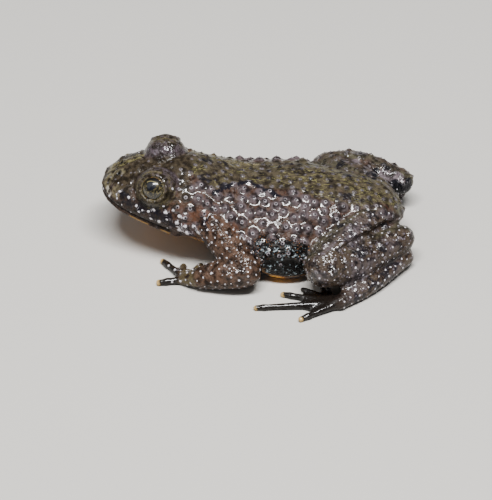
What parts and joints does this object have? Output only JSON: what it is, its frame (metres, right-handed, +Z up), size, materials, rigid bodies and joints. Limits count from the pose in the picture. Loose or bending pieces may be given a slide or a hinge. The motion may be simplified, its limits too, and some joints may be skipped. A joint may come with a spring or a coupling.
{
  "type": "fire-bellied toad",
  "caption": "Life-size still model of a warty brown fire-bellied toad, sitting belly down with folded limbs, raised head and bulging bronze eyes.",
  "frame": {"origin": "on the floor, under the middle of the object's bounding box", "axes": "+Y from head to rump, +X to the toad's left side, +Z up"},
  "size_m": [0.0362, 0.0474, 0.0155],
  "materials": {
    "skin": "wet, warty, glossy",
    "limb_skin": "wet, finely warty, glossy",
    "toe_skin": "wet, smooth, glossy",
    "eye": "polished, clear"
  },
  "bodies": {
    "root": {"head": "skin", "torso": "skin", "eye_left": "eye", "eye_right": "eye", "upper_arm_left": "limb_skin", "upper_arm_right": "limb_skin", "forearm_left": "limb_skin", "forearm_right": "limb_skin", "hand_left": "toe_skin", "hand_right": "toe_skin", "thigh_left": "limb_skin", "thigh_right": "limb_skin", "shank_left": "limb_skin", "shank_right": "limb_skin", "foot_left": "toe_skin", "foot_right": "toe_skin"}
  },
  "joints": []
}
